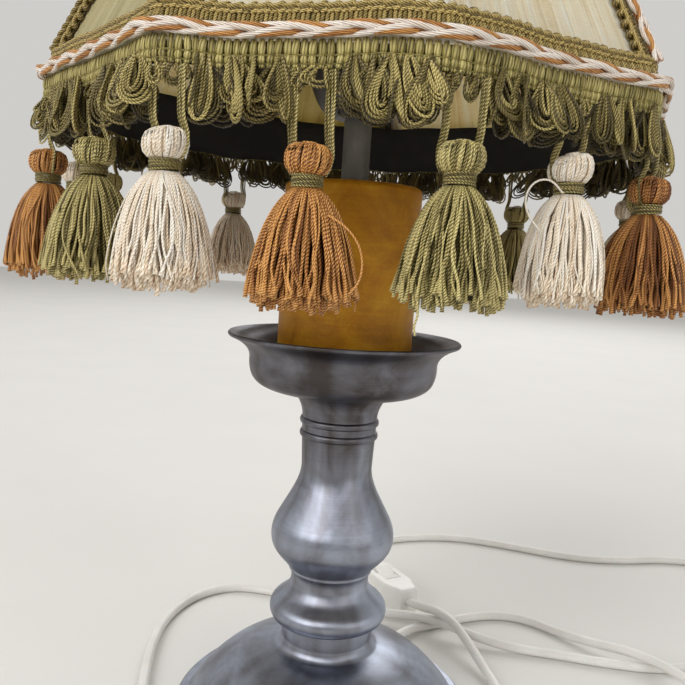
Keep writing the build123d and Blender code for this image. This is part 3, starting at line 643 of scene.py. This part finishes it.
def plait(whites, coppers, line, across, out, size, strand_run=58.0, closed=True):
    """A three-strand plait; each strand is a white yarn beside a copper one and folds over at
    the plait's edges. strand_run is the length in which a strand crosses over and back."""
    steps = len(line)
    length = np.linalg.norm(np.diff(line, axis=0), axis=1).sum()
    turns = max(1, round(length / strand_run))
    for strand in range(3):
        phase = np.arange(steps) / (steps if closed else steps - 1) * turns * TAU + strand * TAU / 3
        for threads, (yarn, thick) in ((whites, PLAIT_WHITE), (coppers, PLAIT_COPPER)):
            high = 1.65 * np.sin(phase) + yarn * 0.95 * np.cos(phase)
            deep = -1.15 * np.sin(2 * phase) + yarn * 0.12
            path = line + across * (high * size)[:, None] + out * (deep * size)[:, None]
            threads.add(path, thick * size, sides=8, ref=out, closed=closed, tone=0.45 + 0.1 * strand)
    coppers.add(line - out * 0.6 * size, 1.6 * size, sides=8, ref=out, closed=closed, tone=0.1)


plait_whites, plait_coppers = Threads(), Threads()
plait_line, _, plait_normal = rim_line(panel_r(BRAID_Z) + BRAID_OUT, BRAID_Z, 1500, 4.0)
upright = np.broadcast_to([0, 0, 1.0], plait_line.shape)
plait(plait_whites, plait_coppers, plait_line, upright, plait_normal, size=0.87)
plait_whites.make("plait_white_strands", "shade", [plait_white], "plait", ["braid_cord"])
plait_coppers.make("plait_copper_strands", "shade", [plait_copper], "plait")

rib_gimp, rib_whites, rib_coppers = Threads(), Threads(), Threads()
PLAITED_RIDGES = (3, 6)
CORD_TURNS, CORD_STEPS, PLY_AT, PLY_R = 22, 400, 0.75, 0.95


def ridge_points(rib, bottom, count):
    """Points up one of the shade's corners, just proud of its cloth."""
    heights = np.linspace(bottom, RIDGE_TOP, count)
    return corner(rib, panel_r(heights) + 0.3, heights)


def trim_ridge(rib):
    """Gimp on both sides of a corner, with the plait or a cord of two plies over the middle."""
    ridge = ridge_points(rib, GIMP_TOP - 0.5, 34 * STEPS_A_PERIOD)
    rising = unit(np.broadcast_to(ridge[-1] - ridge[0], ridge.shape))
    facings = []
    for side in (-1, 1):
        away = corner(rib + side, RIM_R, 0.0) - corner(rib, RIM_R, 0.0)
        away = unit(away - np.dot(away, rising[0]) * rising[0])
        facing = np.cross(rising[0], away) * -side
        facing = facing * np.sign(np.dot(facing, ridge[0] * (1, 1, 0)))
        facings.append(facing)
        gimp(rib_gimp, ridge + away * 0.9, rising, np.broadcast_to(away, ridge.shape),
             np.broadcast_to(facing, ridge.shape), False, width=7.6)
    front = unit(facings[0] + facings[1])
    sideways = np.cross(rising[0], front)
    ridge = ridge_points(rib, RIDGE_BOTTOM, CORD_STEPS)
    if rib in PLAITED_RIDGES:
        plait(rib_whites, rib_coppers, ridge + front * 3.2, np.broadcast_to(sideways, ridge.shape),
              np.broadcast_to(front, ridge.shape), size=0.8, strand_run=46.0, closed=False)
        return
    twist = np.linspace(0, CORD_TURNS * TAU, CORD_STEPS)[:, None]
    for ply in (0.0, math.pi):
        path = ridge + front * (2.3 + PLY_AT * np.cos(twist + ply)) + sideways * PLY_AT * np.sin(twist + ply)
        rib_gimp.add(path, PLY_R, sides=8, ref=front, tone=0.3)


for ridge_index in filter(trimmed, range(SIDES)):
    trim_ridge(ridge_index)
rib_gimp.make("rib_trim_gimp", "shade", [gold_yarn], "olive_braid", ["rib_trims"])
rib_whites.make("rib_plait_white", "shade", [plait_white], "plait")
rib_coppers.make("rib_plait_copper", "shade", [plait_copper], "plait")

# a near-black band inside the rim, painted shadow: it stands for the shade on the inside of the rim's opaque
# trim
shadow_band_sheet = Threads()
shadow_band_levels = np.linspace(311.5, 338.0, 6)
shadow_band_grid = np.stack([rim_line(panel_r(z) - 7.4, z, 360)[0] for z in shadow_band_levels])
shadow_band_grid = np.concatenate([shadow_band_grid, shadow_band_grid[:, :1]], 1)
shadow_band_maps = np.stack(np.meshgrid(np.linspace(0, rim_length, 361), shadow_band_levels), -1)
shadow_band_sheet.sheet(shadow_band_grid, shadow_band_maps)
shadow_band = shadow_band_sheet.make("rim_shadow_band", "shade", [LOOKS["band_cloth"]], "wire")
shadow_band_shell = shadow_band.modifiers.new("shadow band thickness", "SOLIDIFY")
shadow_band_shell.thickness = 0.6 * MM

# the header: two rows of blocks, each with a stitch cord under it. Every rib runs down through
# both rows, at these heights and with this swell at each
RIB_PITCH = 2.85
LEVELS = np.array([319.8, 318.6, 317.4, 316.2, 315.4, 315.0, 314.7, 314.2, 313.4, 312.6, 312.2, 311.9,
                   311.4, 310.8])
SWELL = np.array([0.85, 1.05, 1.12, 1.1, 0.98, 0.74, 0.74, 1.0, 1.14, 1.0, 0.76, 0.78, 0.98, 0.8])
STITCH_STEPS_A_RIB = 6
header = Threads()
rib_count = round(rim_length / RIB_PITCH)
header_line, header_tangent, header_normal = rim_line(RIM_R + 0.9, 0.0, rib_count, 3.0)
header_rng = np.random.default_rng(5)
lean = header_rng.normal(0, 0.25, (rib_count, 1)) * np.sin((LEVELS - 311) / 8 * np.pi)
ribs = header_line[:, None] + header_tangent[:, None] * lean[..., None]
ribs = ribs + header_normal[:, None] * (SWELL * 1.1 - 0.9)[None, :, None]
ribs[..., 2] = header_line[:, None, 2] + LEVELS
rib_size = SWELL * header_rng.uniform(0.94, 1.06, (rib_count, 1)) * 1.24
header.add(ribs, rib_size, sides=8, ref=header_normal[:, None], squash=0.7,
           tone=header_rng.uniform(0.35, 0.75, rib_count))
back, _, back_normal = rim_line(RIM_R - 0.6, 315.0, 720)
header.add(back, 3.8, sides=8, ref=back_normal, closed=True, squash=0.2, tone=0.25)
stitch_steps = STITCH_STEPS_A_RIB * rib_count
for stitch_z, stitch_tone in ((314.9, 0.5), (312.1, 0.35)):
    stitch, _, stitch_normal = rim_line(RIM_R + 1.1, stitch_z, stitch_steps, 3.0)
    weave_in = 0.35 * np.cos(np.arange(stitch_steps) / STITCH_STEPS_A_RIB * TAU)
    header.add(stitch + stitch_normal * weave_in[:, None], 0.42, ref=stitch_normal, closed=True,
               tone=stitch_tone)
header.make("fringe_header_ribs", "shade", [rib_yarn], "fringe_yarn", ["fringe_header"])


# ---- the fringe of loops ----
def rim_r(degrees):
    """The nine-sided rim's radius at an angle, where the fringe and the tassels hang."""
    from_middle = (degrees - FIRST_CORNER) % SIDE_ANGLE - SIDE_ANGLE / 2
    half = math.radians(SIDE_ANGLE / 2)
    return (RIM_R + 0.7) * math.cos(half) / np.cos(np.radians(from_middle))


def loop_paths(rng, centres, drops, widths, throws, curl, nested, raised=0.0):
    """Teardrop loops of thread that hang from the header, each turned, tilted and bowed out,
    with more threads nested inside each. raised loops start that far up the header's face."""
    count = len(centres)
    t = np.linspace(0, 1, 21)[None, :]
    swing = (1 - np.cos(TAU * t)) / 2
    tilt, turn = rng.normal(0, curl, (count, 1)), rng.normal(0, 0.72, (count, 1))
    bow, lean = rng.normal(0, 0.12, (count, 1)), rng.normal(0, 0.8, (count, 1))
    degrees = centres[:, None]
    turned_to = np.radians(degrees)
    outward = np.stack([np.sin(turned_to), -np.cos(turned_to), 0 * turned_to], -1)
    sideways = np.stack([np.cos(turned_to), np.sin(turned_to), 0 * turned_to], -1)
    paths = []
    for inner in range(nested):
        drop = drops[:, None] - 1.25 * inner + rng.normal(0, 0.3, (count, 1))
        width = np.maximum(widths[:, None] - 2.1 * inner, 0.8)
        wide = width * (-np.sin(TAU * t) * swing ** 0.6 / 1.5) + (t - 0.5) * 1.6
        x = wide * np.cos(turn) + (tilt + bow * np.sin(TAU * t)) * drop * swing
        y = wide * np.sin(turn) + (throws[:, None] + lean * inner * 0.3) * swing ** 1.4
        y = y + min(raised, 1.0) * 2.4 * (1 - swing)
        z = LOOP_TOP + raised - (drop + raised) * swing * (1 - 0.1 * np.abs(tilt))
        path = around(degrees, rim_r(degrees), sag(degrees))
        path = path + sideways * x[..., None] + outward * y[..., None]
        path[..., 2] += z
        paths.append(path)
    return np.concatenate(paths)


# rows of loops between two tassels, from the front one back: how many, how far out they are thrown, and how
# pale they are painted, the back rows darker as painted shade. Those thrown out past THROWN_OUT start RAISED
# up the header
LOOP_ROWS = ((4, 5.2, 0.45), (4, 2.8, 0.25), (5, 0.2, 0.05), (5, -2.2, -0.15), (5, -4.2, -0.28))
THROWN_OUT, RAISED, SHORT_LOOPS = 2, 2.8, 5
LOOP_REF = (0.3, 0.2, 1.0)
fringe = Threads()
fringe_rng = np.random.default_rng(11)
pitch = 360 / TASSELS
for k in range(TASSELS):
    middle = FIRST_TASSEL + (k + 0.5) * pitch
    for count, throw, painted_row_light in LOOP_ROWS:
        spread = np.linspace(-4.9, 4.9, count) + fringe_rng.normal(0, 0.7, count)
        drops = fringe_rng.uniform(13.0, 20.0, count)
        paths = loop_paths(fringe_rng, middle + spread, drops, fringe_rng.uniform(7.0, 12.5, count),
                           throw + fringe_rng.normal(0, 1.0, count), 0.27, nested=5,
                           raised=RAISED if throw > THROWN_OUT else 0.0)
        fringe.add(paths, 0.47, ref=LOOP_REF, tone=painted_row_light + fringe_rng.uniform(-0.15, 0.6, len(paths)))
    # short loops right above the tassel
    between = FIRST_TASSEL + k * pitch + np.linspace(-2.0, 2.0, SHORT_LOOPS)
    paths = loop_paths(fringe_rng, between, fringe_rng.uniform(5.5, 9.0, SHORT_LOOPS),
                       fringe_rng.uniform(3.5, 6.0, SHORT_LOOPS),
                       fringe_rng.normal(1.0, 1.2, SHORT_LOOPS), 0.25, nested=2)
    fringe.add(paths, 0.5, sides=5, ref=LOOP_REF, tone=fringe_rng.uniform(0.2, 0.9, len(paths)))
fringe.make("loop_fringe_threads", "shade", [loop_yarn], "fringe_yarn", ["loop_fringe"])


# ---- the tassels ----
SKIRT_Z = np.array([0.0, 4.0, 9.0, 15.0, 21.0, 27.0, 32.0, 35.5, 38.0, 39.6]) + SKIRT_BOTTOM
SKIRT_RADII = np.array([18.6, 18.3, 17.7, 16.6, 15.2, 13.2, 10.9, 8.7, 6.5, 4.8])
YARNS = [(olive_yarn, olive_core, "yarn_olive"), (white_yarn, white_core, "yarn_white"),
         (copper_yarn, copper_core, "yarn_copper")]
FALL = np.linspace(0, 1, 15)
# layers of a skirt: threads, share of its radius, and how far they end above its lowest point
SKIRT_LAYERS = ((112, 1.0, 4.6), (84, 0.88, 2.2), (64, 0.72, 0.2))
# radius and height of a head's threads, from its top down to the neck
WOUND = np.array([[0.9, 0.2], [3.0, 0.35], [5.3, 0.0], [6.8, -1.1], [7.5, -2.9], [7.65, -5.0],
                  [7.2, -7.0], [5.8, -8.7], [4.8, -9.3]])
HEAD_THREADS, CAP_STEPS, WRAP_TURNS, WRAP_STEPS, STRAP_STRANDS = 104, 40, 6.6, 170, 4
THREAD_REF, UPRIGHT = (0.31, 0.22, 0.93), (0, 0, 1.0)
THREADS_KIND, CORE_KIND, STRAP_KIND = 0, 1, 2
# how the tassels in clearest view differ from the rest: how much higher each hangs, how its head tips, how
# full its skirt is, and how much
# paler or darker its yarn is painted: numbers 1 and 16 paler as painted light, number 2 darker as painted
# shade, and number 17 a little paler
HANGS = {0: 0.6, 1: 2.6, 17: -2.6}
SLANTS = {0: 0.0, 1: 0.34, 2: -0.1}
GIRTHS = {0: 1.0, 1: 0.78, 2: 1.0, 17: 0.97}
PAINTED_LIGHT_TONES = {1: 0.22, 2: -0.22, 16: 0.22, 17: 0.05}
# single threads that have come loose: sideways, outwards and height, by tassel
LOOSE = {
    17: [(8.5, 8, 266), (14.5, 9, 263), (19, 8, 258), (20.8, 7, 252), (20.4, 7, 246), (17.5, 8, 241.5),
         (14, 9, 239)],
    0: [(-12.5, 8, 245), (-15, 9.5, 238), (-13.8, 9, 233), (-15.4, 9.5, 229.5), (-14.6, 9.5, 226.5)],
    1: [(-5, 2, 275), (-10, 0.5, 279.5), (-16, -1, 278.5), (-20.5, -1, 273.5), (-20, -0.5, 267),
        (-15, 2, 261)],
}


def smooth(points):
    """A path with its corners cut three times."""
    points = np.asarray(points, float)
    for _ in range(3):
        before, after = points[:-1], points[1:]
        cut = np.stack([before * 0.75 + after * 0.25, before * 0.25 + after * 0.75], 1).reshape(-1, 3)
        points = np.concatenate([points[:1], cut, points[-1:]])
    return points


def skirt_threads(rng, count, share, rise, wander, girth):
    """Threads that fall from the neck and flare, wave a little and part in locks. They end at
    rise above the skirt's lowest point."""
    t = FALL[None, :]
    start = (np.arange(count) + rng.uniform(0, 0.9, count)) / count * TAU
    lock = sum(rng.uniform(0.3, 1.0) * np.sin(k * start + rng.uniform(0, TAU)) / k for k in (5, 7, 9, 12, 16))
    bottom = SKIRT_BOTTOM + rise + rng.normal(0, 0.8, count) + 1.2 * lock
    top = WRAP_BOTTOM + 0.6
    z = top - (top - bottom[:, None]) * t
    flare = 0.05 * np.sin(3 * start + rng.uniform(0, TAU)) + 0.1 * lock + rng.normal(0, 0.03, count)
    fuller = 1 + (girth - 1 + flare[:, None]) * t
    radius = np.interp(z, SKIRT_Z, SKIRT_RADII) * share * fuller
    waves = 0.042 * t * np.sin(rng.uniform(6, 17, (count, 1)) * t + rng.uniform(0, TAU, (count, 1)))
    bend = rng.normal(0, wander, (count, 1)) * t + 0.16 * lock[:, None] * t
    angle = start[:, None] + bend + rng.normal(0, wander, (count, 1)) * np.sin(np.pi * t) + waves
    return np.stack([radius * np.cos(angle), radius * np.sin(angle), z], -1)


class Tassel:
    """One tassel, made upright at the origin and hung under its place on the rim."""

    def __init__(self, number):
        self.number, self.threads = number, Threads()
        self.yarn, self.core, self.slot = YARNS[number % 3]
        degrees = FIRST_TASSEL + number * 360 / TASSELS
        turned_to = math.radians(degrees)
        self.sideways = np.array([math.cos(turned_to), math.sin(turned_to), 0])
        self.outward = np.array([math.sin(turned_to), -math.cos(turned_to), 0])
        self.base = around(degrees, rim_r(degrees), 0.0)
        # a value is drawn for every tassel, also for one whose own takes its place
        self.rng = np.random.default_rng(200 + number)
        self.hangs = HANGS.get(number, self.rng.uniform(-0.8, 0.8))
        self.slant = SLANTS.get(number, self.rng.normal(0, 0.08))
        self.girth = GIRTHS.get(number, self.rng.uniform(0.88, 1.0))
        # painted light and painted shade: a tone shift for the light each tassel hangs in
        self.painted_light_tone = PAINTED_LIGHT_TONES.get(number, 0.0)

    def add(self, local, radius, kind, ref=None, **how):
        """Hang threads given as sideways, outwards and height, with their ref outwards if none."""
        height = local[..., 2:] + self.hangs * np.clip((STRAP_TOP - local[..., 2:]) / 20, 0, 1)
        hung = self.base + local[..., :1] * self.sideways + local[..., 1:2] * self.outward + height * UPRIGHT
        self.threads.add(hung, radius, kind=kind, ref=self.outward if ref is None else ref, **how)

    def skirt(self):
        size = np.interp(FALL, [0, 0.12, 0.3, 0.9, 0.96, 1], [0.28, 0.38, 0.44, 0.45, 0.6, 0.7])
        # the ends of white threads are painted darker, as painted shade; the other yarns' ends are paler
        tip = np.interp(FALL, [0, 0.8, 1], [0.0, 0.0, -0.3 if self.yarn is white_yarn else 0.35])
        for count, share, rise in SKIRT_LAYERS:
            paths = skirt_threads(self.rng, count, share, rise, 0.1, self.girth)
            # painted shade: the inner layers' threads are darker, scaled by the square of their share, where
            # shade falls inside the skirt
            tones = self.rng.uniform(-0.05, 1.0, (count, 1)) * share ** 2 + tip + self.painted_light_tone
            radii = size * self.rng.uniform(0.84, 1.14, (count, 1))
            self.add(paths, radii, THREADS_KIND, THREAD_REF, tone=tones)
        levels = np.linspace(0, 1, 9)[:, None]
        axis = np.hstack([0 * levels, 0 * levels, SKIRT_BOTTOM + 3.5 + levels * 35])
        radii = np.interp(axis[:, 2], SKIRT_Z, SKIRT_RADII) * 0.62 * self.girth
        self.add(axis, radii, CORE_KIND, sides=24)

    def head(self):
        """Threads wound over the head and crossing at a slant, a coil on its top and a core."""
        scatter = self.rng.uniform(-0.3, 0.3, HEAD_THREADS)
        turns = (np.arange(HEAD_THREADS) + scatter) / HEAD_THREADS * TAU
        lay = self.rng.normal(0.25, 0.16, (HEAD_THREADS, 1))
        angle = turns[:, None] + lay * np.linspace(0, 1, len(WOUND))[None, :]
        radius = WOUND[:, 0] * self.rng.uniform(0.95, 1.03, (HEAD_THREADS, 1))
        tipped = self.slant * radius * np.cos(angle) * np.linspace(1, 0, len(WOUND))
        height = HEAD_TOP - 0.5 + WOUND[:, 1] + tipped
        paths = np.stack([radius * np.cos(angle), radius * np.sin(angle), height], -1)
        size = np.interp(np.arange(len(WOUND)), [0, 2, 4, 8], [0.32, 0.4, 0.42, 0.38])
        tones = self.rng.uniform(0.1, 1.0, HEAD_THREADS) + self.painted_light_tone
        self.add(paths, size, THREADS_KIND, THREAD_REF, tone=tones)
        coil, reach = np.linspace(0, 3 * TAU, CAP_STEPS), np.linspace(2.4, 0.2, CAP_STEPS)
        height = HEAD_TOP + 0.45 + self.slant * reach * np.cos(coil) - 0.03 * reach ** 2
        cap = np.column_stack([reach * np.cos(coil), reach * np.sin(coil), height])
        self.add(cap, 0.46, THREADS_KIND, UPRIGHT, tone=0.7)
        height = HEAD_TOP - np.array([9.6, 7.8, 5.6, 3.0, 1.6, 0.9])
        core = np.column_stack([np.zeros(6), np.zeros(6), height])
        self.add(core, [4.6, 6.5, 7.1, 7.0, 5.9, 2.8], CORE_KIND, sides=24)

    def wrap(self):
        """The yarn round the neck, wound a little unevenly."""
        spin = np.linspace(0, WRAP_TURNS * TAU, WRAP_STEPS)
        radius = 5.05 + 0.12 * np.sin(spin * 0.73 + self.number)
        height = np.linspace(WRAP_TOP + 0.4, WRAP_BOTTOM + 1.2, WRAP_STEPS)
        height = height + 0.3 * np.sin(spin * 1.13 + self.number)
        path = np.column_stack([radius * np.cos(spin), radius * np.sin(spin), height])
        self.add(path, 0.4, STRAP_KIND, UPRIGHT, tone=0.1 + 0.3 * np.sin(spin[None, :] * 0.5))

    def straps(self):
        """Two straps of strands side by side, from the header down to the neck."""
        inset = np.interp(FALL, [0, 0.55, 0.7, 1], [0, 0.3, 2.4, 1.5])
        height = STRAP_TOP - FALL * (STRAP_TOP - WRAP_TOP - 0.5)
        for side in (-1, 1):
            middle = STRAP_SPREAD * side * np.interp(FALL, [0, 0.65, 0.8, 0.92, 1], [1, 1.0, 1.08, 1.0, 0.8])
            for strand in range(STRAP_STRANDS):
                sway = 0.3 * np.sin(FALL * 4 + strand * 0.6 + self.number)
                sway = sway + 0.12 * np.sin(FALL * 11 + strand * 2.0)
                path = np.column_stack([middle + (strand - 1.5) * 0.78 + sway,
                                        -inset + 0.3 * (strand % 2), height])
                self.add(path, 0.44, STRAP_KIND, tone=0.1 + 0.16 * strand)

    def strays(self):
        paths = skirt_threads(self.rng, 4, 1.05, 1.0, 0.22, self.girth)
        self.add(paths, 0.3, THREADS_KIND, THREAD_REF, sides=5, tone=0.8)
        if self.number in LOOSE:
            self.add(smooth(LOOSE[self.number]), 0.36, THREADS_KIND, (0.11, 0.93, 0.22), tone=0.9)

    def make(self):
        body = f"tassel_{self.number + 1:02d}"
        self.threads.make(body + "_threads", body, [self.yarn, self.core, olive_yarn], self.slot, [body])


for tassel_number in range(TASSELS):
    tassel = Tassel(tassel_number)
    tassel.skirt()
    tassel.head()
    tassel.wrap()
    tassel.straps()
    tassel.strays()
    tassel.make()


# ---- floor and light ----
LIT_POINT = (0, 0, 0.25)


def lamp(name, at, size, power):
    """A square area lamp that faces the object, in metres and watts."""
    light = bpy.data.lights.new(name, "AREA")
    light.size, light.energy = size, power
    holder = bpy.data.objects.new(name, light)
    bpy.context.scene.collection.objects.link(holder)
    towards = (Vector(LIT_POINT) - Vector(at)).to_track_quat("-Z", "Y")
    holder.matrix_world = Matrix.Translation(at) @ towards.to_matrix().to_4x4()


lamp("key", (-2.1, -2.7, 2.5), 2.8, 108)
lamp("fill", (2.6, -2.0, 1.5), 2.6, 28)
lamp("back", (0.7, 2.8, 2.4), 2.2, 42)

FLOOR_HALF = 6.0  # metres
floor_mesh = bpy.data.meshes.new("floor")
floor_corners = [(x * FLOOR_HALF, y * FLOOR_HALF, 0.0) for x, y in ((-1, -1), (1, -1), (1, 1), (-1, 1))]
floor_mesh.from_pydata(floor_corners, [], [(0, 1, 2, 3)])
floor = bpy.data.objects.new("floor", floor_mesh)
bpy.context.scene.collection.objects.link(floor)
floor_mesh.materials.append(grained_look("floor", (222, 220, 216), (225, 223, 219), 0.85, 0.95, 0.05, 0.0))

# Grey levels round the room from behind the viewer (0), past the left (0.25), the far wall (0.5)
# and the right.
ROOM = [(0.0, 40), (0.03, 60), (0.07, 200), (0.16, 250), (0.22, 150), (0.34, 206), (0.66, 206), (0.8, 110),
        (0.87, 225), (0.94, 205), (0.975, 60)]
world = bpy.data.worlds.new("studio")
bpy.context.scene.world = world
world.use_nodes = True
room = Nodes(world.node_tree)
x, y, _ = room.add("SeparateXYZ", {0: room.add("TexCoord").outputs["Generated"]}).outputs
turn = room.sum("ARCTAN2", x, y)
share = room.add("MapRange", {"Value": turn, "From Min": -math.pi, "From Max": math.pi}).outputs[0]
glow = room.ramp(share, *[(at, srgb(level, level - 1, level - 4)) for at, level in ROOM])
room.put(room.tree.nodes["Background"], "Color", glow)

bpy.context.scene.view_settings.view_transform = "Standard"
